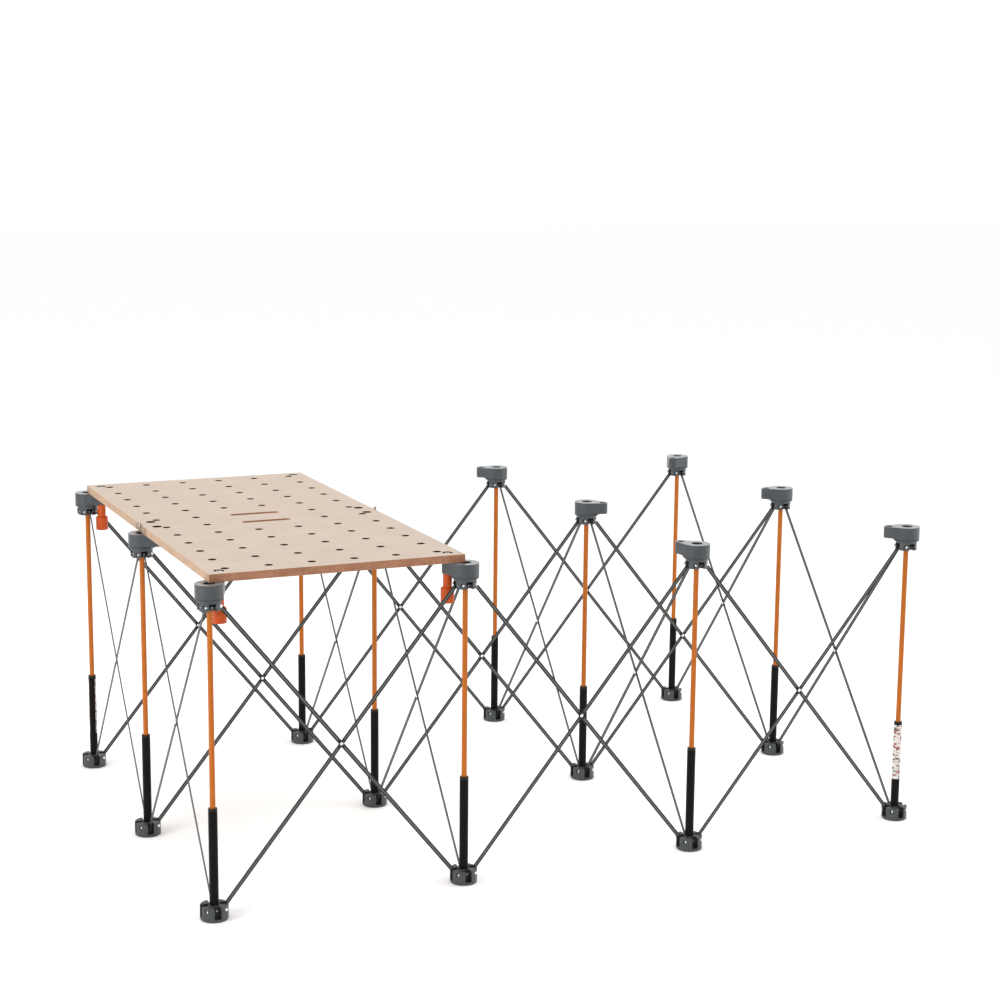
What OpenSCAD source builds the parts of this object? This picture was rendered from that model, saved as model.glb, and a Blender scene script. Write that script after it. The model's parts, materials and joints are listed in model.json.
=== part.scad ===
// Folding work stand: a grid of telescoping posts joined by scissor braces, with a two-piece
// tabletop over its first bay. The stand is drawn open. X is its length, Y its depth and Z up,
// and the origin is on the floor, in the middle of the grid.
// Columns count along X from the left, rows along Y from the front.

/* [Stand] */
// Distance between neighbouring post axes, along X and along Y
post_pitch = 609.6; // [560:0.1:660]
// Height from the floor to the tops of the caps
stand_h = 775; // [700:1:850]
// Number of posts along X
columns = 4; // [2:1:4]

/* [Posts] */
// Outside diameter of the rod that slides in the sleeve
rod_d = 12.7; // [11:0.1:14]
// Wall of the rod
rod_wall = 1.2; // [0.8:0.1:2]
// Outside diameter of the sleeve
sleeve_d = 21; // [20:0.5:23]
// Wall of the sleeve
sleeve_wall = 1.5; // [1:0.1:2]
// Height from the floor to the top of the sleeve
sleeve_top = 260; // [240:1:280]

/* [Feet and caps] */
// Diameter of the foot
foot_d = 64.5; // [62:0.5:70]
// Height of the foot
foot_h = 34; // [32:1:40]
// Diameter of the cap
cap_d = 64.5; // [62:0.5:70]
// Height of the cap's round top
cap_h = 36; // [32:1:40]
// Diameter of the skirt under the cap
skirt_d = 54; // [53:0.5:58]
// Height of the skirt
skirt_h = 23.5; // [22:0.5:26]
// Diameter of the socket in the top of the cap
socket_d = 26; // [20:0.5:30]
// Depth of that socket
socket_depth = 25; // [15:1:26]

/* [Ears and knobs] */
// Distance from the post axis to the ear's hole
ear_reach = 45; // [43:0.5:50]
// Outside diameter of the ear
ear_d = 27; // [25:0.5:30]
// Height of the ear
ear_h = 29; // [25:1:32]
// Diameter of the ear's hole
ear_hole_d = 17; // [12:0.5:18]
// Diameter of the knob's neck
knob_neck_d = 21; // [19:0.5:23]
// Length of the knob's neck
knob_neck_h = 33; // [25:1:40]
// Diameter of the knob's grip
knob_grip_d = 32; // [28:0.5:34]
// Length of the knob's grip
knob_grip_h = 37; // [30:1:40]

/* [Braces] */
// Width of the flat bar
brace_w = 10; // [8:0.5:11]
// Thickness of the flat bar
brace_t = 1.5; // [1.2:0.1:2.5]
// Distance from the post axis to each brace pivot
pivot_reach = 22; // [21:0.5:23]
// Diameter of the pivot pins and of the rivets where two braces cross
pin_d = 4.8; // [4:0.1:5]

/* [Tabletop] */
// Thickness of the board
board_t = 19; // [15:1:25]
// Distance between neighbouring dog holes
dog_pitch = 101.6; // [95:0.1:101.6]
// Diameter of the dog holes
dog_d = 19; // [15:0.5:20]
// Diameter of the holes for the hold-down bolts
bolt_hole_d = 24; // [20:0.5:24]
// Length of the handle slots
slot_l = 127; // [110:1:140]
// Width of the handle slots
slot_w = 22; // [18:1:26]

/* [Hidden] */
rows = 3;
board_columns = 2;
$fn = 64;

// Play of a running fit, and the gap between two parts that only face each other
fit = 0.05;
gap = 0.3;
// How far a cut runs out of the solid that it cuts
over = 1;
// Rounding of the lower edges of the feet and of the knobs
edge_round = 3;

// Directions of a brace from its foot: the turn about Z is 90 degrees times the index
directions = ["right", "back", "left", "front"];
// Direction of each cap's ear about Z, by row and then by column
ear_turn = [[45, 135, 122, 156], [315, 135, 315, 170], [315, 225, 163, 225]];
// Caps that carry a hold-down knob: the corners of the tabletop
function has_knob(c, r) = c <= board_columns && r != 2;

function post_x(c) = (c - (columns + 1) / 2) * post_pitch;
function post_y(r) = (r - (rows + 1) / 2) * post_pitch;
// Is there a neighbouring post in direction k?
function joined(c, r, k) = [c < columns, r < rows, c > 1, r > 1][k];
function tag(c, r) = str("_c", c, "_r", r);
function foot_name(c, r) = str("foot", tag(c, r));
function head_name(c, r) = str("head", tag(c, r));
function brace_name(c, r, k) = str("brace_", directions[k], tag(c, r));

posts = [for (r = [1:rows]) for (c = [1:columns]) [c, r]];
braces = [for (p = posts) for (k = [0:3]) if (joined(p[0], p[1], k)) [p[0], p[1], k]];

foot_names = [for (p = posts) foot_name(p[0], p[1])];
head_names = [for (p = posts) head_name(p[0], p[1])];
brace_names = [for (b = braces) brace_name(b[0], b[1], b[2])];

// Pockets and pivots. A pin's inner end stops in a blind hole, its outer end stands proud.
pocket_w = 16;
pocket_in = 13.5;
pocket_floor = 7;
pocket_room = 3;
pivot_lift = 9.5;
foot_pivot_z = 25;
skirt_z = stand_h - cap_h - skirt_h;
head_pivot_z = skirt_z + pivot_lift;
pocket_top = head_pivot_z + brace_w / 2 + pocket_room;
pin_seat = 5;
pin_inner = pocket_w / 2 + pin_seat;
pin_proud = 1;
rivet_head_over = 4;
rivet_head_h = 1;

// Braces: each one lies to one side of the plane of its posts, so that two can cross
brace_span = post_pitch - 2 * pivot_reach;
brace_rise = head_pivot_z - foot_pivot_z;
brace_l = norm([brace_span, brace_rise]);
brace_lean = atan2(brace_span, brace_rise);
brace_side = brace_t / 2 + gap;

// Post: the rod stands on a slider, which rests in the foot when the stand is open and comes
// near the bushing when the stand is folded
sleeve_z = 5;
slider_z = sleeve_z + 1;
slider_h = 12;
socket_floor = 5;
rod_top = stand_h - socket_depth - socket_floor;
guide_d = sleeve_d - 2 * sleeve_wall - 2 * fit;
bushing_lip = 6;
bushing_h = 20;

// Tabletop
board_z = stand_h + gap;
board_top = board_z + board_t;
board_x0 = post_x(1);
board_w = (board_columns - 1) * post_pitch;
seam_gap = 0.6;
dog_count = 6;
bolt_inset = ear_reach * cos(45);
bolt_low = 1;
bolt_sunk = 4;
bolt_head_d = 15;
bolt_head_h = 3;
hinge_t = 1.5;
hinge_lobe = 6;
hinge_l = 45;
hinge_z = board_top + 0.5;
hinge_low = board_z + 3;
hinge_high = board_top - 2;
hinge_pin_d = 4;
hinge_spacer_y = hinge_lobe + 3;

// ---- shapes used more than once ----

// Cylinder with a rounded edge at its foot
module rounded_puck(d, h, edge) {
  rotate_extrude() {
    translate([0, edge]) square([d / 2, h - edge]);
    square([d / 2 - edge, h]);
    translate([d / 2 - edge, edge]) intersection() {
      circle(edge);
      translate([0, -edge]) square(edge);
    }
  }
}

module tube(d, wall, z0, z1) {
  translate([0, 0, z0]) difference() {
    cylinder(d = d, h = z1 - z0);
    translate([0, 0, -over]) cylinder(d = d - 2 * wall, h = z1 - z0 + 2 * over);
  }
}

// Copies its children a quarter turn apart
module four_ways() {
  for (k = [0:3]) rotate(90 * k) children();
}

// Four pockets for the brace ends, with a drilled pin hole across each one
module pockets(z0, z1, pivot_z) {
  four_ways() {
    translate([pocket_in, -pocket_w / 2, z0]) cube([foot_d, pocket_w, z1 - z0]);
    translate([pivot_reach, pin_inner, pivot_z]) rotate([90, 0, 0])
      cylinder(d = pin_d + 2 * fit, h = foot_d);
  }
}

// Pin across a pocket, whose outer end comes out of the round wall at the given distance
module pivot_pin(outer, pivot_z) {
  color("silver") translate([pivot_reach, pin_inner - gap, pivot_z]) rotate([90, 0, 0])
    cylinder(d = pin_d, h = pin_inner - gap + outer + pin_proud);
}

// How far along Y the round wall reaches beside a pin
function wall_reach(d) = sqrt(pow(d / 2, 2) - pow(pivot_reach, 2));

// ---- post ----

module foot_cup() {
  color("dimgray") difference() {
    rounded_puck(foot_d, foot_h, edge_round);
    translate([0, 0, sleeve_z]) cylinder(d = sleeve_d + 2 * fit, h = foot_h);
    pockets(pocket_floor, foot_h + over, foot_pivot_z);
  }
}

module sleeve() {
  color("#1c1a19") tube(sleeve_d, sleeve_wall, sleeve_z + fit, sleeve_top - bushing_lip - fit);
}

// Bushing that closes the sleeve and guides the rod
module bushing() {
  low = sleeve_top - bushing_h;
  color("#161616") difference() {
    union() {
      translate([0, 0, sleeve_top - bushing_lip]) cylinder(d = sleeve_d, h = bushing_lip);
      translate([0, 0, low]) cylinder(d = guide_d, h = bushing_h - bushing_lip + over);
    }
    translate([0, 0, low - over]) cylinder(d = rod_d + 2 * fit, h = bushing_h + 2 * over);
  }
}

module foot(c, r) {
  translate([post_x(c), post_y(r), 0]) {
    foot_cup();
    sleeve();
    bushing();
    four_ways() pivot_pin(wall_reach(foot_d), foot_pivot_z);
  }
}

// ---- head ----

// Ear with the web that joins it to the round top, a little inside the common tangents
module ear_outline() {
  slope = asin((cap_d - ear_d) / 2 / ear_reach);
  side = 0.96 / 2 * [sin(slope), cos(slope)];
  near = cap_d * side;
  far = [ear_reach, 0] + ear_d * side;
  translate([ear_reach, 0]) circle(d = ear_d);
  polygon([near, far, [far.x, -far.y], [near.x, -near.y]]);
}

module cap(turn) {
  color("#606468") difference() {
    union() {
      translate([0, 0, stand_h - cap_h]) cylinder(d = cap_d, h = cap_h);
      rotate(turn) translate([0, 0, stand_h - ear_h]) linear_extrude(ear_h) ear_outline();
      translate([0, 0, skirt_z]) cylinder(d = skirt_d, h = skirt_h + over);
    }
    translate([0, 0, stand_h - socket_depth]) cylinder(d = socket_d, h = socket_depth + over);
    rotate(turn) translate([ear_reach, 0, stand_h - ear_h - over])
      cylinder(d = ear_hole_d, h = ear_h + 2 * over);
    translate([0, 0, skirt_z - over]) cylinder(d = rod_d + 2 * fit, h = rod_top + fit - skirt_z + over);
    pockets(skirt_z - over, pocket_top, head_pivot_z);
  }
}

module rod() {
  color("#d06a28") tube(rod_d, rod_wall, slider_z + slider_h, rod_top);
}

// Slider under the rod, which runs inside the sleeve
module slider() {
  color("#161616") translate([0, 0, slider_z]) cylinder(d = guide_d, h = slider_h);
}

// Hold-down knob under the ear. Its stud ends level with the top of the ear.
module knob(turn) {
  low = stand_h - ear_h - fit - knob_neck_h - knob_grip_h;
  color("#d2501e") rotate(turn) translate([ear_reach, 0, low]) {
    rounded_puck(knob_grip_d, knob_grip_h, edge_round);
    cylinder(d = knob_neck_d, h = knob_grip_h + knob_neck_h);
    cylinder(d = ear_hole_d - 2 * fit, h = stand_h - low);
  }
}

module head(c, r) {
  turn = ear_turn[r - 1][c - 1];
  translate([post_x(c), post_y(r), 0]) {
    cap(turn);
    rod();
    slider();
    four_ways() pivot_pin(wall_reach(skirt_d), head_pivot_z);
    if (has_knob(c, r)) knob(turn);
  }
}

// ---- braces ----

// Flat bar from its foot pivot, at the origin, straight up Z
module brace_bar() {
  color("#3c3e40") rotate([90, 0, 0]) linear_extrude(brace_t, center = true) difference() {
    union() {
      translate([-brace_w / 2, 0]) square([brace_w, brace_l]);
      for (y = [0, brace_l]) translate([0, y]) circle(d = brace_w);
    }
    for (y = [0, brace_l / 2, brace_l]) translate([0, y]) circle(d = pin_d + 2 * fit);
  }
}

// Rivet where this brace crosses its partner, which lies 2 * brace_side behind it
module cross_rivet() {
  grip = 2 * brace_side + brace_t + 2 * gap;
  color("silver") translate([0, -brace_t / 2 - gap, brace_l / 2]) rotate([-90, 0, 0]) {
    cylinder(d = pin_d, h = grip);
    for (z = [-rivet_head_h, grip]) translate([0, 0, z])
      cylinder(d = pin_d + rivet_head_over, h = rivet_head_h);
  }
}

// Brace from the foot of post (c, r) to the head of its neighbour in direction k
module brace(c, r, k) {
  translate([post_x(c), post_y(r), 0]) rotate(90 * k)
    translate([pivot_reach, -brace_side, foot_pivot_z]) rotate([0, brace_lean, 0]) {
      brace_bar();
      if (k < 2) cross_rivet();
    }
}

// ---- tabletop ----

// The handle slot takes the place of the two middle holes next to the seam
function has_dog(i, j) = j < dog_count - 1 || abs(i - (dog_count - 1) / 2) > 1;

// One half of the board, from its outer end at Y = 0 to its seam
module board_outline() {
  long = post_pitch - seam_gap / 2;
  inset = (board_w - (dog_count - 1) * dog_pitch) / 2;
  row_inset = post_pitch - (dog_count - 0.5) * dog_pitch;
  slot_y = post_pitch - dog_pitch / 2;
  difference() {
    square([board_w, long]);
    for (i = [0:dog_count - 1]) for (j = [0:dog_count - 1])
      if (has_dog(i, j))
        translate([inset + i * dog_pitch, row_inset + j * dog_pitch]) circle(d = dog_d);
    for (x = [bolt_inset, board_w - bolt_inset]) for (y = [bolt_inset, post_pitch - bolt_inset])
      translate([x, y]) circle(d = bolt_hole_d);
    translate([board_w / 2, slot_y]) square([slot_l - slot_w, slot_w], center = true);
    for (s = [-0.5, 0.5]) translate([board_w / 2 + s * (slot_l - slot_w), slot_y]) circle(d = slot_w);
  }
}

// Bolt in the board over each knob
module hold_down_bolt(x, y) {
  shank = board_t - bolt_low - bolt_sunk;
  color("silver") translate([x, y, board_z + bolt_low]) {
    cylinder(d = bolt_hole_d - 2 * fit, h = shank);
    translate([0, 0, shank]) cylinder(d = bolt_head_d, h = bolt_head_h, $fn = 6);
  }
}

// Half of the tabletop, drawn from the outer end of the board at Y = 0 to the seam
module tabletop_half() {
  color("#dfcbb8") translate([0, 0, board_z]) linear_extrude(board_t) board_outline();
  for (x = [bolt_inset, board_w - bolt_inset]) hold_down_bolt(x, bolt_inset);
}

// Plate in the plane of X = 0, from y0 to y1 along Y, with a lobe around the hinge axis at Y = 0
module hinge_plate(x0, x1, y0, y1, bore_d) {
  translate([x0, 0, 0]) rotate([90, 0, 90]) linear_extrude(x1 - x0) difference() {
    union() {
      translate([min(y0, y1), hinge_low]) square([abs(y1 - y0), hinge_high - hinge_low]);
      translate([0, hinge_z]) circle(r = hinge_lobe);
      translate([min(0, sign(y0 + y1) * hinge_lobe), hinge_low])
        square([hinge_lobe, hinge_z - hinge_low]);
    }
    translate([0, hinge_z]) circle(d = bore_d);
  }
}

// Strap on the front half's edge, with the pivot rivet
module hinge_front() {
  grip = 2 * (hinge_t + gap);
  color("#8a8d90") hinge_plate(gap, gap + hinge_t, -hinge_l, -hinge_lobe / 2, hinge_pin_d + 2 * fit);
  color("silver") translate([gap, 0, hinge_z]) rotate([0, 90, 0]) {
    cylinder(d = hinge_pin_d, h = grip);
    translate([0, 0, grip]) cylinder(d = hinge_pin_d + rivet_head_over, h = rivet_head_h);
  }
}

// Strap on the rear half's edge: it steps outwards over the front one
module hinge_rear() {
  step = hinge_t + 2 * gap;
  color("#8a8d90") {
    hinge_plate(step, step + hinge_t, hinge_lobe / 2, hinge_l, hinge_pin_d + 2 * fit);
    translate([fit, hinge_spacer_y, hinge_low])
      cube([step, hinge_l - hinge_spacer_y, hinge_high - hinge_low]);
  }
}

// Both edges of the board, at the seam
module at_hinges() {
  translate([board_x0 + board_w, 0, 0]) children();
  translate([board_x0, 0, 0]) mirror([1, 0, 0]) children();
}

module tabletop_front() {
  translate([board_x0, post_y(1), 0]) tabletop_half();
  at_hinges() hinge_front();
}

module tabletop_rear() {
  translate([board_x0, post_y(rows), 0]) mirror([0, 1, 0]) tabletop_half();
  at_hinges() hinge_rear();
}

for (p = posts) {
  foot(p[0], p[1]);
  head(p[0], p[1]);
}
for (b = braces) {
  brace(b[0], b[1], b[2]);
}
tabletop_front();
tabletop_rear();
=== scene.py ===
import json
from math import atan2, cos, degrees, hypot, pi, radians, sin

import bpy
from mathutils import Matrix, Vector

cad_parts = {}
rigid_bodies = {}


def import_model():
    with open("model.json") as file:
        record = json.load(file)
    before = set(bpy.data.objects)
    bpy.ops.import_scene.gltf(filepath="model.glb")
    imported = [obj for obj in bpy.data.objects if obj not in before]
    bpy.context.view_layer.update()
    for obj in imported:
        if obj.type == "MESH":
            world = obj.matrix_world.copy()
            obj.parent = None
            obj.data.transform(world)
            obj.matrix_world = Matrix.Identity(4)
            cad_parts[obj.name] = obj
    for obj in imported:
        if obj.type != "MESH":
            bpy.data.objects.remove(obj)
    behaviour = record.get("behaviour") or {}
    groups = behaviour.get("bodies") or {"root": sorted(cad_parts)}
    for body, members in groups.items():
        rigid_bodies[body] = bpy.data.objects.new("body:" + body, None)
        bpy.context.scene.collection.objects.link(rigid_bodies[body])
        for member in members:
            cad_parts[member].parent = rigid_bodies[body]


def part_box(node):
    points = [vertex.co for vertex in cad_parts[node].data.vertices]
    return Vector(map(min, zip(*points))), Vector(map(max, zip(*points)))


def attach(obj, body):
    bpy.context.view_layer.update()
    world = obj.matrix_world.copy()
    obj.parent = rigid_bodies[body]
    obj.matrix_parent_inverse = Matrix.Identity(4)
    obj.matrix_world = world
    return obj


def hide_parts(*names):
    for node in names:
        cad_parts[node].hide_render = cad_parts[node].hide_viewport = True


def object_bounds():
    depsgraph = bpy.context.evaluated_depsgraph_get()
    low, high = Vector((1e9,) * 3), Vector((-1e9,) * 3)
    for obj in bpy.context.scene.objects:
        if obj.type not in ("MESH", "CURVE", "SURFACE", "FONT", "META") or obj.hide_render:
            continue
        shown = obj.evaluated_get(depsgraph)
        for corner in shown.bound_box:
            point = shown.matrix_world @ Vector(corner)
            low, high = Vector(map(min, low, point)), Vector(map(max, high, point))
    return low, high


for item in list(bpy.data.objects):
    bpy.data.objects.remove(item)
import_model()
cad_low, cad_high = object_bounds()

MM = 0.001

# ---- sizes of the stand, in millimetres, and turns in degrees ----

# Grid of posts. Columns count from the left and rows from the front.
POST_PITCH = 609.6
COLUMNS, ROWS = 4, 3
STAND_H = 775
DIRECTIONS = ["right", "back", "left", "front"]

# Play between two pieces that fit, and a length that is sure to reach past a piece
FIT = 0.05
PAST = 60

# Foot, with the sleeve that stands in it and the bushing in the sleeve's end
FOOT_R, FOOT_H, SOLE_R, CUP_FLOOR_Z = 32.25, 34, 25, 5
SLEEVE_R, SLEEVE_BORE_R, SLEEVE_EASE = 10.5, 9, 0.4
NECK_Z, LIP_Z, LIP_TOP = 240, 254, 260

# Slider, and the rod on it
SLIDER_Z, SLIDER_TOP = 6, 18
ROD_R, ROD_BORE_R, ROD_TOP = 6.35, 5.15, 745

# Cap: its skirt, its round top with a socket, its ear, and the knob in the ear
SKIRT_R, SKIRT_Z = 27, 715.5
CAP_R, CAP_Z = 32.25, 739
SOCKET_R, SOCKET_Z = 13, 750
EAR_REACH, EAR_R, EAR_Z, EAR_HOLE_R = 45, 13.5, 746, 8.5
EAR_TURN = [[45, 135, 122, 156], [315, 135, 315, 170], [315, 225, 163, 225]]
GRIP_R, GRIP_Z, GRIP_NECK_R = 16, 676, 10.5
KNOB_POSTS = [(1, 1), (2, 1), (1, 3), (2, 3)]

# Pockets for the ends of the bars, and the pins across them. A flat is the place of the pin's
# head, from the middle of the pocket.
POCKET_W, POCKET_IN = 16, 13.5
FOOT_POCKET_Z, HEAD_POCKET_Z = 7, 733
PIVOT_REACH = 22
FOOT_PIVOT_Z, HEAD_PIVOT_Z = 25, 725
FOOT_FLAT, HEAD_FLAT = 22, 15
PIN_HOLE_R, PIN_FLAT_R = 2.5, 4.9

# Bars, and how far a bar lies to the side of the post's axis
BAR_W, BAR_T = 10, 1.5
BRACE_SIDE = 1.05
BAR_SPAN = POST_PITCH - 2 * PIVOT_REACH
BAR_RISE = HEAD_PIVOT_Z - FOOT_PIVOT_Z
BAR_L = hypot(BAR_SPAN, BAR_RISE)
BAR_LEAN = degrees(atan2(BAR_SPAN, BAR_RISE))
GROOVE_EDGE, GROOVE_DEPTH = 2.5, 0.3

# Tabletop
BOARD_Z, BOARD_T = 775.3, 19
BOARD_TOP = BOARD_Z + BOARD_T
SEAM_HALF = 0.3
DOG_COUNT, DOG_PITCH, DOG_R = 6, 101.6, 9.5
SLOT_L, SLOT_W = 127, 22
BOLT_HOLE_R = 12
BOLT_INSET = EAR_REACH * cos(pi / 4)

# Hinge of the tabletop: its straps, their screws and how far each strap lies off the edge
HINGE_Z = BOARD_TOP + 0.5
STRAP_T, STRAP_L = 1.5, 45
STRAP_LOW, STRAP_HIGH = BOARD_Z + 3, BOARD_TOP - 2
STRAP_GAP = {"front": 0.3, "rear": 2.1}
SCREW_AT = (18, 36)
SCREW_Z = (STRAP_LOW + STRAP_HIGH) / 2

# Labels: lower edge, upper edge and the way their middle faces
LABEL_POSTS = {(4, 1): (107, 252, -110), (1, 3): (95, 250, 66)}


# ---- helpers for modelling ----

def mm(*lengths):
    """Millimetres to metres."""
    return tuple(length * MM for length in lengths)


def clear():
    """Leaves edit mode, with nothing selected."""
    if bpy.context.object and bpy.context.object.mode != "OBJECT":
        bpy.ops.object.mode_set(mode="OBJECT")
    bpy.ops.object.select_all(action="DESELECT")


def pick(*objects):
    """Selects just these objects. The first one is the active one."""
    clear()
    for item in objects:
        item.select_set(True)
    bpy.context.view_layer.objects.active = objects[0]


def settle(piece):
    """Moves a piece's place and turn into its mesh."""
    pick(piece)
    bpy.ops.object.transform_apply(location=True, rotation=True, scale=True)
    return piece


def edit(piece, mode="FACE"):
    """Goes into edit mode on this piece, with nothing selected."""
    pick(piece)
    bpy.ops.object.mode_set(mode="EDIT")
    bpy.ops.mesh.select_mode(type=mode)
    bpy.ops.mesh.select_all(action="DESELECT")


def choose_faces(piece, test):
    """Selects the faces whose centre, in mm, and normal pass the test."""
    edit(piece)
    bpy.ops.object.mode_set(mode="OBJECT")
    for face in piece.data.polygons:
        face.select = bool(test(face.center / MM, face.normal))
    bpy.ops.object.mode_set(mode="EDIT")


def choose_points(piece, test):
    """Selects the points whose place, in mm, passes the test."""
    edit(piece, "VERT")
    bpy.ops.object.mode_set(mode="OBJECT")
    for point in piece.data.vertices:
        point.select = bool(test(point.co / MM))
    bpy.ops.object.mode_set(mode="EDIT")


def turned(profile, segments=96, bore=False, x=0, y=0):
    """A round solid, drawn up ring by ring from (radius, height) pairs. With bore, its first and
    last faces open into each other."""
    clear()
    radius, z = profile[0]
    bpy.ops.mesh.primitive_circle_add(
        vertices=segments, radius=radius * MM, fill_type="NGON", location=mm(x, y, z))
    piece = settle(bpy.context.object)
    edit(piece)
    bpy.ops.mesh.select_all(action="SELECT")
    for next_radius, next_z in profile[1:]:
        bpy.ops.mesh.extrude_region_move(TRANSFORM_OT_translate={"value": mm(0, 0, next_z - z)})
        grow = next_radius / radius
        bpy.ops.transform.resize(value=(grow, grow, 1), center_override=mm(x, y, next_z))
        radius, z = next_radius, next_z
    if bore:
        clear()
        ends = [face for face in piece.data.polygons if len(face.vertices) == segments]
        places = [face.center.copy() for face in ends]
        choose_faces(piece, lambda c, n: any((c * MM - p).length < 1e-7 for p in places)
                     and abs(n.z) > 0.9)
        bpy.ops.mesh.bridge_edge_loops()
    bpy.ops.mesh.select_all(action="SELECT")
    bpy.ops.mesh.normals_make_consistent(inside=False)
    clear()
    return piece


def block(low, high):
    """A box between two corners."""
    clear()
    middle = [(a + b) / 2 for a, b in zip(low, high)]
    bpy.ops.mesh.primitive_cube_add(size=1, location=mm(*middle))
    piece = bpy.context.object
    piece.scale = mm(*[b - a for a, b in zip(low, high)])
    return settle(piece)


def bar_round(radius, start, end, segments=32):
    """A round bar between two points."""
    clear()
    start, end = Vector(start), Vector(end)
    along = end - start
    bpy.ops.mesh.primitive_cylinder_add(
        vertices=segments, radius=radius * MM, depth=along.length * MM,
        location=mm(*((start + end) / 2)))
    piece = bpy.context.object
    piece.rotation_euler = along.to_track_quat("Z", "Y").to_euler()
    return settle(piece)


def turn_piece(piece, turn):
    """Turns the piece itself about Z, in degrees."""
    piece.rotation_euler.z = radians(turn)
    return settle(piece)


def copy_turned(piece, turn=0.0, move=(0, 0, 0)):
    """A copy with its own mesh, turned about Z in degrees and then moved."""
    pick(piece)
    bpy.ops.object.duplicate()
    made = bpy.context.object
    made.location = mm(*move)
    return turn_piece(made, turn)


def join(pieces):
    """Joins pieces into the first one."""
    pick(*pieces)
    bpy.ops.object.join()
    return pieces[0]


def four_ways(piece):
    """The piece with its three copies, a quarter turn apart about Z."""
    return join([piece] + [copy_turned(piece, 90 * k) for k in (1, 2, 3)])


def combine(piece, others, operation="DIFFERENCE"):
    """Cuts the other shapes out of the piece, or joins them to it."""
    for other in others:
        pick(piece)
        step = piece.modifiers.new("combine", "BOOLEAN")
        step.operation = operation
        step.solver = "EXACT"
        step.object = other
        bpy.ops.object.modifier_apply(modifier=step.name)
        bpy.data.objects.remove(other)
    return piece


def soften(piece, width, segments=2, angle=40):
    """Rounds the sharp edges."""
    pick(piece)
    step = piece.modifiers.new("edges", "BEVEL")
    step.width = width * MM
    step.segments = segments
    step.limit_method = "ANGLE"
    step.angle_limit = radians(angle)
    step.miter_outer = "MITER_ARC"
    bpy.ops.object.modifier_apply(modifier=step.name)
    return piece


def smooth(piece, angle=32):
    """Smooth shading, with crisp edges past the angle. Large flat faces keep one even shade."""
    pick(piece)
    bpy.ops.object.shade_smooth_by_angle(angle=radians(angle))
    step = piece.modifiers.new("shade", "WEIGHTED_NORMAL")
    step.weight = 100
    step.keep_sharp = True
    bpy.ops.object.modifier_apply(modifier=step.name)
    return piece


# ---- materials ----

def colour(code):
    """An sRGB hex value as a linear colour."""
    parts = [int(code[i:i + 2], 16) / 255 for i in (1, 3, 5)]
    linear = [c / 12.92 if c <= 0.04045 else ((c + 0.055) / 1.055) ** 2.4 for c in parts]
    return (*linear, 1.0)


def add(tree, kind, settings=None, links=None):
    """Adds a node with its settings and its links."""
    node = tree.nodes.new(kind)
    for key, value in (settings or {}).items():
        if isinstance(key, int) or key in node.inputs:
            node.inputs[key].default_value = value
        else:
            setattr(node, key, value)
    for key, source in (links or {}).items():
        tree.links.new(source, node.inputs[key])
    return node


def per_mm(size):
    """Texture scale whose pattern repeats about every size millimetres."""
    return 1 / (size * MM)


def new_material(name, **shader):
    """A new material, with its nodes and its shader. The constants are the shader's own."""
    material = bpy.data.materials.new(name)
    material.use_nodes = True
    surface = material.node_tree.nodes["Principled BSDF"]
    for key, value in shader.items():
        surface.inputs[key.replace("_", " ")].default_value = value
    return material, material.node_tree, surface


def finish(name, tones, rough, cloud, grain, relief, along=(1, 1, 1), **shader):
    """A finish. Its two tones lie in soft clouds, its roughness wanders between two values, and
    its grain stands in relief. cloud, grain and relief are in mm, and along stretches the
    grain. The rest are constants of the shader."""
    material, tree, surface = new_material(name, **shader)
    spot = add(tree, "ShaderNodeTexCoord").outputs["Object"]
    clouds = add(tree, "ShaderNodeTexNoise", {"Scale": per_mm(cloud), "Detail": 4},
                 {"Vector": spot}).outputs["Fac"]
    stretched = add(tree, "ShaderNodeMapping", {"Scale": along}, {"Vector": spot})
    grains = add(tree, "ShaderNodeTexNoise", {"Scale": per_mm(grain), "Detail": 3},
                 {"Vector": stretched.outputs["Vector"]}).outputs["Fac"]
    blend = add(tree, "ShaderNodeMath", {"operation": "ADD"}, {0: clouds, 1: grains})
    amount = add(tree, "ShaderNodeMapRange", {"From Min": 0.75, "From Max": 1.25},
                 {"Value": blend.outputs["Value"]})
    mixed = add(tree, "ShaderNodeMix",
                {"data_type": "RGBA", 6: colour(tones[0]), 7: colour(tones[1])},
                {0: amount.outputs["Result"]})
    gloss = add(tree, "ShaderNodeMapRange",
                {"From Min": 0.3, "From Max": 0.7, "To Min": rough[0], "To Max": rough[1]},
                {"Value": clouds})
    bumps = add(tree, "ShaderNodeBump", {"Distance": relief * MM, "Strength": 0.6},
                {"Height": grains})
    tree.links.new(mixed.outputs[2], surface.inputs["Base Color"])
    tree.links.new(gloss.outputs["Result"], surface.inputs["Roughness"])
    tree.links.new(bumps.outputs["Normal"], surface.inputs["Normal"])
    return material


# Glass-filled nylon, injection moulded: an even dark grey with faint cloudy flow marks and a
# satin gloss. The real spark-eroded grain is about 0.3 mm; 1.2 mm is the finest that shows.
CAP_NYLON = finish("moulded_grey_nylon_cap", ("#303438", "#3b4044"), (0.26, 0.38), 18, 1.2, 0.04,
                   IOR=1.53)
FOOT_NYLON = finish("moulded_grey_nylon_foot", ("#2c2f31", "#383c3f"), (0.34, 0.48), 18, 1.2,
                    0.05, IOR=1.53)
# The same nylon out of a polished part of the mould, and smoother. Its paler grey is a painted
# highlight, for the light that falls on the cap's upward faces.
CAP_TOP_PAINTED_HIGHLIGHT = finish("polished_nylon_top_painted_highlight", ("#6a6e71", "#787c7f"), (0.1, 0.18), 12, 1.2, 0.01,
                  IOR=1.53)
# Acetal, injection moulded in black: nearly no colour and a waxy gloss.
BLACK_ACETAL = finish("moulded_black_acetal", ("#0e0d0c", "#171514"), (0.35, 0.5), 15, 1.2,
                      0.03, IOR=1.48, Specular_IOR_Level=0.3)
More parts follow.
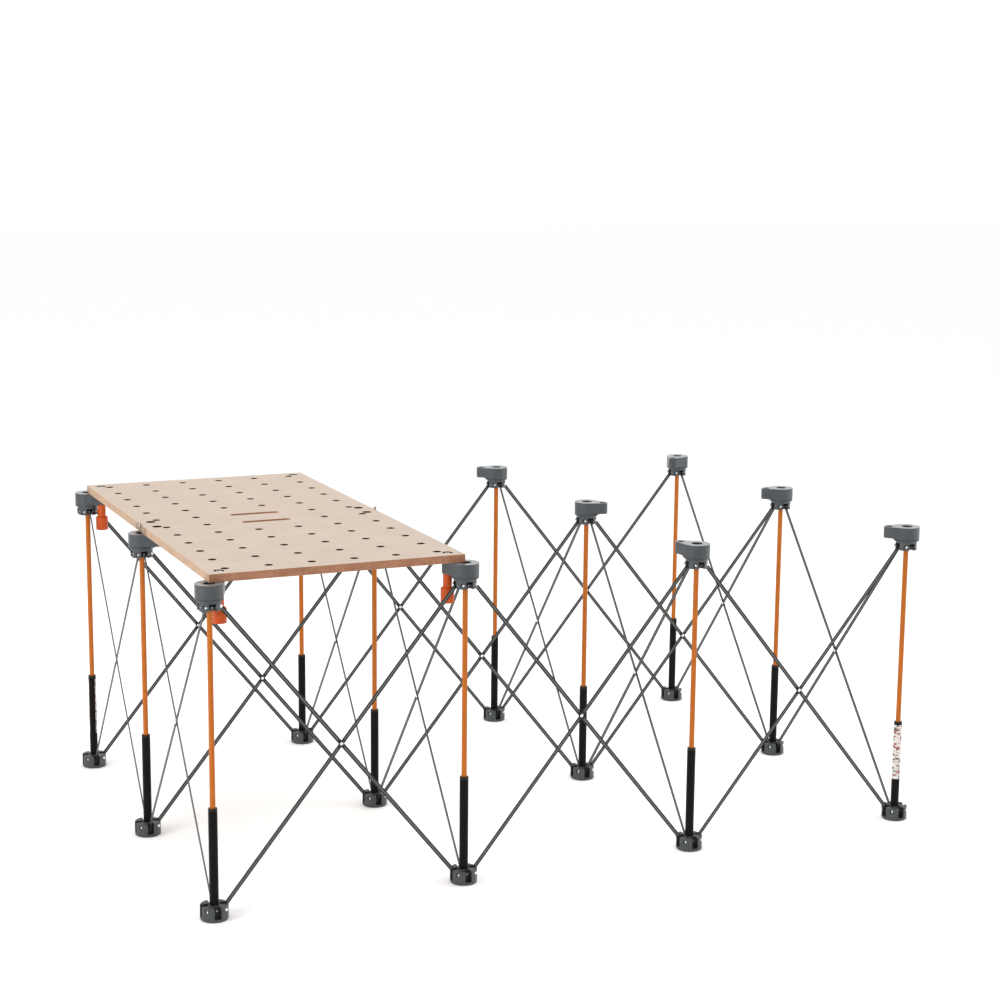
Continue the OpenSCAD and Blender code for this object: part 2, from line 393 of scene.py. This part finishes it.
# Steel tube under powder coat: an even orange with slight orange peel, about 1.5 mm across.
ROD_ORANGE = finish("powder_coated_orange_tube", ("#a45713", "#b26119"), (0.32, 0.44), 25, 1.5,
                    0.03, IOR=1.5, Specular_IOR_Level=0.2)
# Steel strip under charcoal powder coat: dark, even and slightly rough.
BAR_CHARCOAL = finish("powder_coated_charcoal_bar", ("#191a1a", "#222323"), (0.4, 0.52), 25, 1.5,
                      0.04, IOR=1.5, Specular_IOR_Level=0.3)
# Painted highlight: the floor of the pressed groove is painted paler than the coat, for the light
# line along the middle of the bar.
BAR_GROOVE_PAINTED_HIGHLIGHT = finish("pressed_groove_painted_highlight", ("#4b4e4c", "#585b59"), (0.35, 0.48), 25,
                    1.5, 0.04, IOR=1.5)
# ABS, injection moulded: a deep orange red with a soft gloss.
KNOB_ORANGE = finish("moulded_orange_abs", ("#b2450c", "#c14f12"), (0.3, 0.42), 16, 1.2, 0.03,
                     IOR=1.53, Specular_IOR_Level=0.25)
# Aluminium tube, drawn and anodised black: near black, with fine lines along its length. The
# real lines are about 0.1 mm apart; 1 mm is the finest that shows.
SLEEVE_BLACK = finish("anodised_black_tube", ("#070605", "#0f0c0a"), (0.36, 0.5), 30, 1.0, 0.02,
                      (1, 1, 0.02), IOR=1.5, Specular_IOR_Level=0.1)
# Steel, zinc plated bright: a cool silver with faint bluish and yellowish clouds.
ZINC = finish("bright_zinc_plate", ("#d3d6da", "#e6e4dc"), (0.2, 0.34), 6, 1.0, 0.02,
              Metallic=1.0)
# Steel strap, painted to match the board: a flat tan with a slight peel.
STRAP_TAN = finish("painted_tan_strap", ("#8f7a64", "#9b866f"), (0.45, 0.6), 12, 1.5, 0.03,
                   IOR=1.5)
# Medium density fibreboard, pressed, sanded and sealed: a smooth pale tan, with soft blotches
# and short fibres, 2 to 4 mm long, that lie every way.
BOARD_FACE = finish("sealed_fibreboard_face", ("#ae9a87", "#bcaa99"), (0.36, 0.5), 70, 1.6, 0.03,
                    IOR=1.47)
# The sawn edge of the board: browner and rougher than its face, with layered fibres.
BOARD_EDGE = finish("sawn_fibreboard_edge", ("#865a40", "#a1745a"), (0.6, 0.8), 40, 1.5, 0.1,
                    (0.25, 0.25, 1), IOR=1.47, Specular_IOR_Level=0.3)
# The long sides: smoother than the sawn ends, and painted paler, which is painted light for the
# lamp light that falls on the sides.
BOARD_SIDE_PAINTED_LIGHT = finish("fibreboard_side_painted_light", ("#a1836a", "#b5977d"), (0.5, 0.65), 40, 1.5, 0.05,
                    (0.25, 0.25, 1), IOR=1.47, Specular_IOR_Level=0.3)
# The wall of a drilled hole, with fine rings. Its near-black brown is painted shade, for the shade
# that falls inside the holes.
BOARD_BORE_PAINTED_SHADE = finish("drilled_hole_painted_shade", ("#26160d", "#3a2315"), (0.6, 0.8), 20, 1.0, 0.06,
                    (0.1, 0.1, 1), IOR=1.47, Specular_IOR_Level=0.2)


def printed_label():
    """Vinyl label, printed: pale, with short blocks of muted red and grey in uneven rows, too
    small to read."""
    material, tree, surface = new_material("printed_vinyl_label", Roughness=0.38)
    spot = add(tree, "ShaderNodeTexCoord").outputs["Object"]
    cells = add(tree, "ShaderNodeMapping", {"Scale": (0.6, 0.6, 1)}, {"Vector": spot})
    blocks = add(tree, "ShaderNodeTexVoronoi", {"Scale": per_mm(4.5), "distance": "CHEBYCHEV"},
                 {"Vector": cells.outputs["Vector"]})
    # Each cell's own random shade says whether it is bare, grey or red.
    shade = add(tree, "ShaderNodeSeparateColor", None, {"Color": blocks.outputs["Color"]})
    inks = add(tree, "ShaderNodeValToRGB", None, {"Fac": shade.outputs["Red"]})
    ramp = inks.color_ramp
    ramp.interpolation = "CONSTANT"
    ramp.elements[0].color = colour("#cfcac4")
    ramp.elements[1].position = 0.5
    ramp.elements[1].color = colour("#4a4244")
    ramp.elements.new(0.68).color = colour("#8a4440")
    ramp.elements.new(0.82).color = colour("#b3aaa6")
    tree.links.new(inks.outputs["Color"], surface.inputs["Base Color"])
    return material


LABEL = printed_label()


# ---- placing ----

def hand_over(piece, name, body):
    """Names a finished piece, lets it ride on its body and stand in for the body's CAD."""
    piece.name = piece.data.name = name
    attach(piece, body)
    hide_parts(body)
    return piece


def place(template, name, body, turn, move):
    """Hands over a copy of a template, turned about Z and moved."""
    return hand_over(copy_turned(template, turn, move), name, body)


def paint(piece, *materials):
    """Gives a piece its materials. Faces wear the first one until they are told otherwise."""
    piece.data.materials.clear()
    for material in materials:
        piece.data.materials.append(material)
    return piece


def post_axis(c, r):
    """The post's axis, from the box of its foot, in mm."""
    low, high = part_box(f"foot_c{c}_r{r}")
    return (low.x + high.x) / 2 / MM, (low.y + high.y) / 2 / MM


def joined(c, r):
    """Directions, as quarter turns, in which this post has a neighbour."""
    return [k for k, there in enumerate((c < COLUMNS, r < ROWS, c > 1, r > 1)) if there]


# ---- feet ----

def pocket_cutters(z0, z1):
    """Four pockets for the ends of the bars."""
    return four_ways(block((POCKET_IN, -POCKET_W / 2, z0), (PAST, POCKET_W / 2, z1)))


def pin_cutters(z, flat):
    """Four drilled holes across the pockets, and the flats that their rivet heads sit on."""
    outside = (PIVOT_REACH, -40, z)
    holes = four_ways(bar_round(PIN_HOLE_R, (PIVOT_REACH, 13, z), outside, 24))
    flats = four_ways(bar_round(PIN_FLAT_R, (PIVOT_REACH, -flat, z), outside, 32))
    return [holes, flats]


def make_cup():
    """Foot: a cup with a hollow sole, rounded edges, a sloping mouth and four pockets."""
    mouth = SLEEVE_R + FIT
    cup = turned([
        (SOLE_R, 2), (SOLE_R, 0.4), (SOLE_R + 0.4, 0), (FOOT_R - 3.05, 0), (FOOT_R - 1.85, 0.3),
        (FOOT_R - 0.85, 1), (FOOT_R - 0.25, 2), (FOOT_R, 3.2), (FOOT_R, FOOT_H - 1),
        (FOOT_R - 0.35, FOOT_H - 0.3), (FOOT_R - 1.05, FOOT_H), (mouth + 2.45, FOOT_H),
        (mouth + 1.65, FOOT_H - 0.8), (mouth, FOOT_H - 0.8), (mouth, CUP_FLOOR_Z)])
    pockets = pocket_cutters(FOOT_POCKET_Z, PAST)
    combine(cup, [pockets] + pin_cutters(FOOT_PIVOT_Z, FOOT_FLAT))
    soften(cup, 0.5)
    return paint(smooth(cup), FOOT_NYLON)


def make_sleeve():
    """Sleeve: a tube with eased ends, from the floor of the cup to the bushing's lip."""
    low, high, eased = CUP_FLOOR_Z + 0.1, LIP_Z - 0.1, SLEEVE_R - SLEEVE_EASE
    sleeve = turned([
        (SLEEVE_BORE_R, low), (eased, low), (SLEEVE_R, low + SLEEVE_EASE),
        (SLEEVE_R, high - SLEEVE_EASE), (eased, high), (SLEEVE_BORE_R, high)], 48, True)
    return paint(smooth(sleeve), SLEEVE_BLACK)


def make_bushing():
    """Bushing: a neck inside the sleeve, and a lip over its end with a shallow groove."""
    bore, neck, groove = ROD_R + FIT, SLEEVE_BORE_R - FIT, SLEEVE_R - 0.3
    bushing = turned([
        (bore, NECK_Z), (neck - 0.35, NECK_Z), (neck, NECK_Z + 0.4), (neck, LIP_Z),
        (groove, LIP_Z), (SLEEVE_R, LIP_Z + 0.3), (SLEEVE_R, LIP_Z + 1.6), (groove, LIP_Z + 1.9),
        (groove, LIP_Z + 2.5), (SLEEVE_R, LIP_Z + 2.8), (SLEEVE_R, LIP_TOP - 0.8),
        (SLEEVE_R - 0.5, LIP_TOP - 0.1), (SLEEVE_R - 1.3, LIP_TOP), (bore + 0.3, LIP_TOP),
        (bore, LIP_TOP - 0.3)], 48, True)
    return paint(smooth(bushing), BLACK_ACETAL)


def make_pin(z, flat):
    """Rivet through a pocket: a shank, a domed head on its flat and a drilled far end."""
    under_head = FIT - flat
    pin = turned([
        (1.2, 12.2), (2, 12.4), (2.4, 12), (2.4, under_head), (4, under_head), (4.1, -flat - 0.2),
        (3.9, -flat - 0.8), (3.1, -flat - 1.3), (1.9, -flat - 1.55), (1.1, -flat - 1.6),
        (0.9, -flat - 1.3)], 24)
    pin.rotation_euler.x = radians(-90)
    pin.location = mm(PIVOT_REACH, 0, z)
    return paint(smooth(settle(pin)), ZINC)


def make_spacers(z):
    """Two spacers on the pin, which hold the bar in its place in the pocket."""
    wall, room = POCKET_W / 2 - 0.1, BAR_T / 2 + 0.15
    made = []
    for y0, y1 in ((-wall, -BRACE_SIDE - room), (-BRACE_SIDE + room, wall)):
        ring = turned([(PIN_HOLE_R, y0), (3.6, y0), (3.9, y0 + 0.3), (3.9, y1 - 0.3), (3.6, y1),
                       (PIN_HOLE_R, y1)], 24, True)
        ring.rotation_euler.x = radians(-90)
        ring.location = mm(PIVOT_REACH, 0, z)
        made.append(settle(ring))
    return paint(smooth(join(made)), BLACK_ACETAL)


def make_label(z0, z1):
    """Label wrapped round a sleeve, with a gap at its back."""
    inner, outer = SLEEVE_R + 0.02, SLEEVE_R + 0.12
    label = turned([(inner, z0), (outer, z0), (outer, z1), (inner, z1)], 48, True)
    # Half of the wrap, in radians
    half_wrap = 2.2
    choose_faces(label, lambda c, n: abs(atan2(c.y, c.x)) > half_wrap)
    bpy.ops.mesh.delete(type="FACE")
    edit(label, "EDGE")
    bpy.ops.mesh.select_non_manifold()
    bpy.ops.mesh.fill()
    clear()
    return paint(smooth(label), LABEL)


# ---- heads ----

def make_cap(turn):
    """Cap: a round top with an ear turned this way, a grooved edge below it, and a skirt with
    four pockets."""
    groove = CAP_R - 1.05
    lower = turned([
        (SKIRT_R - 1.2, SKIRT_Z), (SKIRT_R - 0.3, SKIRT_Z + 0.3), (SKIRT_R, SKIRT_Z + 1.1),
        (SKIRT_R, CAP_Z - 1.2), (SKIRT_R + 0.5, CAP_Z - 0.3), (SKIRT_R + 1.6, CAP_Z),
        (groove, CAP_Z), (CAP_R, CAP_Z + 1), (CAP_R, CAP_Z + 2.4), (groove, CAP_Z + 3),
        (groove, CAP_Z + 4.4), (CAP_R, CAP_Z + 5), (CAP_R, EAR_Z)])
    # The top is two round posts under one skin, so that the ear runs smoothly out of the cap.
    big = turned([(CAP_R, EAR_Z), (CAP_R, STAND_H)])
    small = turned([(EAR_R, EAR_Z), (EAR_R, STAND_H)], 48, x=EAR_REACH)
    top = join([big, small])
    edit(top)
    bpy.ops.mesh.select_all(action="SELECT")
    bpy.ops.mesh.convex_hull()
    soften(top, 1.3, 3, 60)
    combine(top, [lower], "UNION")
    # Gusset under the ear, with a hollow outer face
    gusset_out = 39.4
    gusset = block((26, -11, CAP_Z + 0.3), (gusset_out - 0.1, 11, EAR_Z + 0.5))
    combine(gusset, [bar_round(6.9, (gusset_out, -20, CAP_Z + 0.1),
                               (gusset_out, 20, CAP_Z + 0.1), 32)])
    combine(top, [gusset], "UNION")
    turn_piece(top, turn)
    socket_rim, ear_rim = SOCKET_R + 1.2, EAR_HOLE_R + 0.8
    socket = turned([(SOCKET_R, SOCKET_Z), (SOCKET_R, STAND_H - 1), (socket_rim, STAND_H + 0.2),
                     (socket_rim, STAND_H + 1)], 64)
    ear_hole = turned(
        [(ear_rim, EAR_Z - 1), (EAR_HOLE_R, EAR_Z + 0.8), (EAR_HOLE_R, STAND_H - 0.8),
         (ear_rim, STAND_H + 0.2), (ear_rim, STAND_H + 1)], 48,
        x=EAR_REACH * cos(radians(turn)), y=EAR_REACH * sin(radians(turn)))
    below_skirt = 700
    rod_bore = bar_round(ROD_R + FIT, (0, 0, below_skirt), (0, 0, ROD_TOP + 0.1), 32)
    pockets = pocket_cutters(below_skirt, HEAD_POCKET_Z)
    combine(top, [socket, ear_hole, rod_bore, pockets] + pin_cutters(HEAD_PIVOT_Z, HEAD_FLAT))
    paint(smooth(top, 30), CAP_NYLON, CAP_TOP_PAINTED_HIGHLIGHT)
    # The flat faces on top take the paler grey of the painted highlight.
    for face in top.data.polygons:
        on_top = face.normal.z > 0.97 and face.center.z > (STAND_H - 0.5) * MM
        face.material_index = int(on_top)
    return top


def make_rod():
    """Rod: a tube with eased ends, from the slider into the cap."""
    eased = ROD_R - 0.35
    rod = turned([
        (ROD_BORE_R, SLIDER_TOP), (eased, SLIDER_TOP), (ROD_R, SLIDER_TOP + 0.4),
        (ROD_R, ROD_TOP - 0.4), (eased, ROD_TOP), (ROD_BORE_R, ROD_TOP)], 40, True)
    return paint(smooth(rod), ROD_ORANGE)


def make_slider():
    """Slider under the rod: a plug with a hollow lower face and a groove for its grease."""
    radius, hollow = SLEEVE_BORE_R - FIT, 6
    groove, eased = radius - 0.45, radius - 0.65
    slider = turned([
        (hollow, SLIDER_Z + 1.5), (hollow, SLIDER_Z + 0.3), (hollow + 0.4, SLIDER_Z),
        (eased, SLIDER_Z), (radius, SLIDER_Z + 0.7), (radius, SLIDER_Z + 4.6),
        (groove, SLIDER_Z + 5), (groove, SLIDER_Z + 7), (radius, SLIDER_Z + 7.4),
        (radius, SLIDER_TOP - 0.7), (eased, SLIDER_TOP)], 40)
    return paint(smooth(slider), BLACK_ACETAL)


def make_knob():
    """Hold-down knob, drawn about Z: a grip with a hollow end, a sloping shoulder, a neck and
    its stud."""
    stud, stud_z = EAR_HOLE_R - FIT, EAR_Z - FIT
    knob = turned([
        (GRIP_NECK_R, GRIP_Z + 4), (GRIP_NECK_R, GRIP_Z + 0.4), (GRIP_NECK_R + 0.5, GRIP_Z - FIT),
        (GRIP_R - 1.4, GRIP_Z - FIT), (GRIP_R - 0.4, GRIP_Z + 0.5), (GRIP_R, GRIP_Z + 1.6),
        (GRIP_R, GRIP_Z + 32.5), (GRIP_R - 0.4, GRIP_Z + 33.8), (GRIP_R - 1.6, GRIP_Z + 35),
        (GRIP_NECK_R + 1.1, GRIP_Z + 37), (GRIP_NECK_R + 0.2, GRIP_Z + 38.2),
        (GRIP_NECK_R, GRIP_Z + 39.6), (GRIP_NECK_R, EAR_Z - 1.4), (GRIP_NECK_R - 0.4, EAR_Z - 0.6),
        (GRIP_NECK_R - 1.1, stud_z), (stud, stud_z), (stud, STAND_H - 0.6),
        (stud - 0.55, STAND_H)], 64)
    return paint(smooth(knob), KNOB_ORANGE)


# ---- bars ----

def make_bar():
    """Flat bar along Z from its foot pivot: round ends, three holes and a long groove pressed
    into each half of each face."""
    clear()
    segments = 32
    bpy.ops.mesh.primitive_cylinder_add(
        vertices=segments, radius=BAR_W / 2 * MM, depth=BAR_T * MM)
    bar = bpy.context.object
    bar.rotation_euler = (pi / 2, 0, 0)
    settle(bar)
    # Half a segment more, so that two flats lie along the bar
    bar.rotation_euler.y = pi / segments
    settle(bar)
    choose_points(bar, lambda p: p.z > 0)
    bpy.ops.transform.translate(value=mm(0, 0, BAR_L))
    eye = 9
    for z in (eye, BAR_L / 2 - eye, BAR_L / 2 + eye, BAR_L - eye):
        edit(bar)
        bpy.ops.mesh.select_all(action="SELECT")
        bpy.ops.mesh.bisect(plane_co=mm(0, 0, z), plane_no=(0, 0, 1))
    choose_faces(bar, lambda c, n: abs(n.y) > 0.9 and 50 < abs(c.z - BAR_L / 2) < BAR_L / 2 - 50)
    bpy.ops.mesh.inset(thickness=GROOVE_EDGE * MM, depth=0, use_individual=True)
    bpy.ops.mesh.inset(thickness=0.7 * MM, depth=-GROOVE_DEPTH * MM, use_individual=True)
    clear()
    holes = [bar_round(2.45, (0, -5, z), (0, 5, z), 24) for z in (0, BAR_L / 2, BAR_L)]
    combine(bar, [join(holes)])
    soften(bar, 0.25, 2, 50)
    paint(smooth(bar), BAR_CHARCOAL, BAR_GROOVE_PAINTED_HIGHLIGHT)
    # The floors of the grooves take the paler grey of the painted highlight.
    groove_y = BAR_T / 2 - GROOVE_DEPTH
    for face in bar.data.polygons:
        off_floor = abs(abs(face.center.y) / MM - groove_y)
        face.material_index = int(off_floor < 0.12 and abs(face.normal.y) > 0.98)
    return bar


def make_cross_rivet():
    """Rivet where two bars cross, with a domed head on each side and a washer between the bars."""
    front = -BAR_T / 2 - 0.1
    back = 2 * BRACE_SIDE + BAR_T / 2 + 0.1
    rivet = turned([
        (0.8, front - 1.2), (2.2, front - 1.15), (3.4, front - 0.8), (4, front - 0.2), (4, front),
        (2.4, front), (2.4, 0.8), (3.8, 0.8), (3.8, 1.3), (2.4, 1.3), (2.4, back), (4, back),
        (4, back + 0.2), (3.4, back + 0.8), (2.2, back + 1.15), (0.8, back + 1.2)], 24)
    rivet.rotation_euler.x = radians(-90)
    rivet.location = mm(0, 0, BAR_L / 2)
    return paint(smooth(settle(rivet)), ZINC)


def lay_bar(template, name, body, c, r, k):
    """Hands over a copy of what is drawn along a bar, laid from its foot to the neighbour's head.
    k is the way to the neighbour, in quarter turns."""
    pick(template)
    bpy.ops.object.duplicate()
    piece = bpy.context.object
    x, y = post_axis(c, r)
    piece.matrix_world = (
        Matrix.Translation(mm(x, y, 0)) @ Matrix.Rotation(radians(90 * k), 4, "Z")
        @ Matrix.Translation(mm(PIVOT_REACH, -BRACE_SIDE, FOOT_PIVOT_Z))
        @ Matrix.Rotation(radians(BAR_LEAN), 4, "Y"))
    return hand_over(settle(piece), name, body)


# ---- tabletop ----

def board_hole(radius, x, y, segments):
    """A round cutter through the board."""
    return bar_round(radius, (x, y, BOARD_Z - 5), (x, y, BOARD_TOP + 5), segments)


def make_board(side):
    """Half of the tabletop, on the side of the seam that side gives: holes, a handle slot and
    eased edges."""
    x0 = post_axis(1, 1)[0]
    low, high = sorted((side * SEAM_HALF, side * POST_PITCH))
    board = block((x0, low, BOARD_Z), (x0 + POST_PITCH, high, BOARD_TOP))
    inset = (POST_PITCH - (DOG_COUNT - 1) * DOG_PITCH) / 2
    holes = []
    for j in range(DOG_COUNT):
        for i in range(DOG_COUNT):
            # The handle slot takes the place of the two middle holes next to the seam.
            if j > 0 or i not in (2, 3):
                holes.append(board_hole(DOG_R, x0 + inset + i * DOG_PITCH,
                                        side * DOG_PITCH * (j + 0.5), 32))
    for x in (BOLT_INSET, POST_PITCH - BOLT_INSET):
        for y in (BOLT_INSET, POST_PITCH - BOLT_INSET):
            holes.append(board_hole(BOLT_HOLE_R, x0 + x, side * y, 40))
    slot_at = (x0 + POST_PITCH / 2, side * DOG_PITCH / 2)
    slot = board_hole(SLOT_W / 2, *slot_at, 34)
    half = (SLOT_L - SLOT_W) / 2
    choose_points(slot, lambda p: p.x > slot_at[0])
    bpy.ops.transform.translate(value=mm(half, 0, 0))
    choose_points(slot, lambda p: p.x < slot_at[0])
    bpy.ops.transform.translate(value=mm(-half, 0, 0))
    combine(board, [join(holes + [slot])])
    soften(board, 0.7, 2, 50)
    paint(smooth(board), BOARD_EDGE, BOARD_FACE, BOARD_BORE_PAINTED_SHADE, BOARD_SIDE_PAINTED_LIGHT)
    edge, face_top, bore, lit_side_painted = range(4)
    rim = 8
    for face in board.data.polygons:
        at = face.center / MM
        inside = rim < at.x - x0 < POST_PITCH - rim and rim < abs(at.y) < POST_PITCH - rim
        in_slot = (abs(at.x - slot_at[0]) <= SLOT_L / 2 + 2
                   and abs(at.y - slot_at[1]) <= SLOT_W / 2 + 2)
        if abs(face.normal.z) > 0.9:
            face.material_index = face_top
        # The walls of the holes take the painted shade.
        elif inside and not in_slot:
            face.material_index = bore
        # The long sides take the paler tan of the painted light.
        elif abs(at.x - slot_at[0]) > POST_PITCH / 2 - 1:
            face.material_index = lit_side_painted
        else:
            face.material_index = edge
    return board


def make_board_bolt():
    """Bolt of the tabletop, drawn about Z: a flanged body with a hexagonal head and socket."""
    flange = BOARD_TOP - 4
    body = turned([
        (10.8, BOARD_Z + 1.1), (11.9, BOARD_Z + 1.9), (11.9, flange - 0.7), (11.3, flange),
        (9.4, flange), (9, flange - 0.4), (8.2, flange - 0.4)], 64)
    head = turned([(7.4, flange - 1.3), (7.4, flange + 2.4), (6.9, flange + 2.9),
                   (4.5, flange + 2.9), (4.5, flange - 0.7)], 6)
    paint(body, BLACK_ACETAL, ZINC)
    paint(head, ZINC)
    combine(body, [head], "UNION")
    for face in body.data.polygons:
        on_head = hypot(*(face.center / MM).xy) < 7.6 and face.center.z / MM > flange - 1.8
        face.material_index = int(on_head)
    return smooth(body, 25)


def screw_bores(x0, x1, side):
    """Two cutters through a strap, for its screws."""
    return [bar_round(2, (x0, side * y, SCREW_Z), (x1, side * y, SCREW_Z), 20) for y in SCREW_AT]


def make_strap(side, gap):
    """Hinge strap at the seam, on the board's edge: a plate with a lobe round the hinge axis.
    side is the half of the board, gap the strap's distance from the edge. The rear strap lies
    outside the front one, on a spacer."""
    far = gap + STRAP_T
    y0, y1 = sorted((side * 3, side * STRAP_L))
    plate = block((gap, y0, STRAP_LOW), (far, y1, STRAP_HIGH))
    web_y0, web_y1 = sorted((0, side * 6))
    web = block((gap, web_y0, STRAP_LOW + 2), (far, web_y1, HINGE_Z))
    lobe = bar_round(6, (gap, 0, HINGE_Z), (far, 0, HINGE_Z), 40)
    combine(plate, [web, lobe], "UNION")
    bore = bar_round(2.05, (gap - 3, 0, HINGE_Z), (gap + 5, 0, HINGE_Z), 24)
    combine(plate, [join([bore] + screw_bores(gap - 3, gap + 5, side))])
    soften(plate, 0.3, 2, 50)
    if side > 0:
        spacer = block((FIT, 9, STRAP_LOW), (gap - FIT, STRAP_L, STRAP_HIGH))
        combine(spacer, [join(screw_bores(-3, 5, side))])
        soften(spacer, 0.3, 2, 50)
        join([plate, spacer])
    return paint(smooth(plate), STRAP_TAN)


def make_screws(side, gap):
    """Two pan-head screws through a hinge strap, each with a cross recess."""
    head = STRAP_T
    made = []
    for y in SCREW_AT:
        screw = turned([(1.9, -gap - 1), (1.9, head), (3.3, head), (3.5, head + 0.2),
                        (3.1, head + 0.8), (2.2, head + 1.2), (1, head + 1.3)], 24)
        combine(screw, [block((-1.8, -0.35, head + 0.6), (1.8, 0.35, 4)),
                        block((-0.35, -1.8, head + 0.6), (0.35, 1.8, 4))])
        screw.rotation_euler.y = radians(90)
        screw.location = mm(gap, side * y, SCREW_Z)
        made.append(settle(screw))
    return paint(smooth(join(made), 25), STRAP_TAN)


def make_hinge_rivet():
    """Rivet on the hinge axis, with a head at each end."""
    rivet = turned([(1, 0.1), (3.4, 0.1), (3.4, 0.28), (2, 0.28), (2, 3.9), (4, 3.9), (4, 4.1),
                    (3.3, 4.6), (2, 4.85), (1, 4.9)], 24)
    rivet.rotation_euler.y = radians(90)
    rivet.location = mm(0, 0, HINGE_Z)
    return paint(smooth(settle(rivet)), ZINC)


def mirror_x(piece):
    """Mirrors a piece across X and turns its faces outwards again."""
    piece.scale.x = -1
    settle(piece)
    edit(piece)
    bpy.ops.mesh.select_all(action="SELECT")
    bpy.ops.mesh.normals_make_consistent(inside=False)
    return smooth(piece)


# ---- the stand ----

templates = []


def keep(piece):
    """Notes a template, which is removed once its copies are placed."""
    templates.append(piece)
    return piece


cup, sleeve, bushing = keep(make_cup()), keep(make_sleeve()), keep(make_bushing())
foot_pin, foot_spacers = keep(make_pin(FOOT_PIVOT_Z, FOOT_FLAT)), keep(make_spacers(FOOT_PIVOT_Z))
head_pin, head_spacers = keep(make_pin(HEAD_PIVOT_Z, HEAD_FLAT)), keep(make_spacers(HEAD_PIVOT_Z))
rod, slider, knob = keep(make_rod()), keep(make_slider()), keep(make_knob())
bar, cross_rivet = keep(make_bar()), keep(make_cross_rivet())
# A cap for each turn of the ear within a quarter turn. Placing it turns it by whole quarters, so
# that its pockets stay in line with the bars.
ear_turns = sorted({turn % 90 for row in EAR_TURN for turn in row})
caps = {turn: keep(make_cap(turn)) for turn in ear_turns}

for r in range(1, ROWS + 1):
    for c in range(1, COLUMNS + 1):
        post = f"c{c}_r{r}"
        x, y = post_axis(c, r)
        at = (x, y, 0)
        foot, head = f"foot_{post}", f"head_{post}"
        place(cup, f"foot_cup_{post}", foot, 0, at)
        place(sleeve, f"sleeve_{post}", foot, 0, at)
        place(bushing, f"bushing_{post}", foot, 0, at)
        turn = EAR_TURN[r - 1][c - 1]
        place(caps[turn % 90], f"cap_{post}", head, turn - turn % 90, at)
        place(rod, f"rod_{post}", head, 0, at)
        place(slider, f"slider_{post}", head, 0, at)
        for k, way in enumerate(DIRECTIONS):
            place(foot_pin, f"foot_pin_{way}_{post}", foot, 90 * k, at)
            place(foot_spacers, f"foot_spacers_{way}_{post}", foot, 90 * k, at)
            place(head_pin, f"head_pin_{way}_{post}", head, 90 * k, at)
            place(head_spacers, f"head_spacers_{way}_{post}", head, 90 * k, at)
        for k in joined(c, r):
            way = DIRECTIONS[k]
            brace = f"brace_{way}_{post}"
            lay_bar(bar, f"bar_{way}_{post}", brace, c, r, k)
            if k < 2:
                lay_bar(cross_rivet, f"cross_rivet_{way}_{post}", brace, c, r, k)
        if (c, r) in KNOB_POSTS:
            ear = (x + EAR_REACH * cos(radians(turn)), y + EAR_REACH * sin(radians(turn)), 0)
            place(knob, f"knob_{post}", head, 0, ear)
        if (c, r) in LABEL_POSTS:
            low_z, high_z, facing = LABEL_POSTS[c, r]
            label = make_label(low_z, high_z)
            place(label, f"label_{post}", foot, facing, at)
            bpy.data.objects.remove(label)

left_x = post_axis(1, 1)[0]
right_x = left_x + POST_PITCH
bolt = keep(make_board_bolt())
for side, half in ((-1, "front"), (1, "rear")):
    body = f"tabletop_{half}"
    hand_over(make_board(side), f"board_{half}", body)
    for edge, x in (("left", left_x + BOLT_INSET), ("right", right_x - BOLT_INSET)):
        place(bolt, f"board_bolt_{half}_{edge}", body, 0,
              (x, side * (POST_PITCH - BOLT_INSET), 0))
    gap = STRAP_GAP[half]
    for edge, x in (("left", left_x), ("right", right_x)):
        parts = [("hinge_strap", make_strap(side, gap)),
                 ("hinge_screws", make_screws(side, gap))]
        if side < 0:
            parts.append(("hinge_rivet", make_hinge_rivet()))
        for kind, part in parts:
            if edge == "left":
                mirror_x(part)
            part.location.x = x * MM
            hand_over(settle(part), f"{kind}_{half}_{edge}", body)

for template in templates:
    bpy.data.objects.remove(template)

# ---- floor, light and camera ----

clear()
bpy.ops.mesh.primitive_plane_add(size=60, location=(0, 0, cad_low.z - 0.0005))
floor = bpy.context.object
floor.name = "floor"
# Matt white paint: no gloss at all, so that only the soft shadows show.
floor_paint = new_material("pale_painted_floor", Base_Color=colour("#fefefe"), Roughness=1.0,
                           Specular_IOR_Level=0.0)[0]
floor.data.materials.append(floor_paint)

world = bpy.data.worlds.new("studio")
world.use_nodes = True
world.node_tree.nodes["Background"].inputs["Color"].default_value = colour("#ffffff")
world.node_tree.nodes["Background"].inputs["Strength"].default_value = 1.0
bpy.context.scene.world = world
bpy.context.scene.view_settings.view_transform = "Standard"


def soft_light(name, size, power, at, aim):
    """A large square lamp at a place, aimed at a point. Sizes are in metres, power in watts."""
    lamp = bpy.data.lights.new(name, "AREA")
    lamp.size = size
    lamp.energy = power
    made = bpy.data.objects.new(name, lamp)
    bpy.context.scene.collection.objects.link(made)
    made.location = at
    made.rotation_euler = (Vector(aim) - Vector(at)).to_track_quat("-Z", "Y").to_euler()


soft_light("overhead_softbox", 3.5, 40, (0, 0.5, 3.6), (0, 0, 0.4))
soft_light("right_softbox", 1.6, 60, (4.2, -1.6, 1.7), (0.2, 0, 0.5))
soft_light("left_softbox", 1.8, 75, (-4.4, -1.2, 1.9), (-0.2, 0, 0.6))

# Camera: its place in metres, and its turn to the left, its tilt and its roll in degrees
CAMERA_AT = (-2.0914, -4.8626, 1.757)
CAMERA_TURN, CAMERA_TILT, CAMERA_ROLL = -23.76, -10.262, 0.54
camera = bpy.data.objects.new("camera", bpy.data.cameras.new("camera"))
bpy.context.scene.collection.objects.link(camera)
camera.data.lens = 73.44
camera.data.sensor_width = 36
camera.matrix_world = (
    Matrix.Translation(CAMERA_AT) @ Matrix.Rotation(radians(CAMERA_TURN), 4, "Z")
    @ Matrix.Rotation(radians(90 + CAMERA_TILT), 4, "X")
    @ Matrix.Rotation(radians(CAMERA_ROLL), 4, "Z"))
camera.data.clip_end = 100
bpy.context.scene.camera = camera
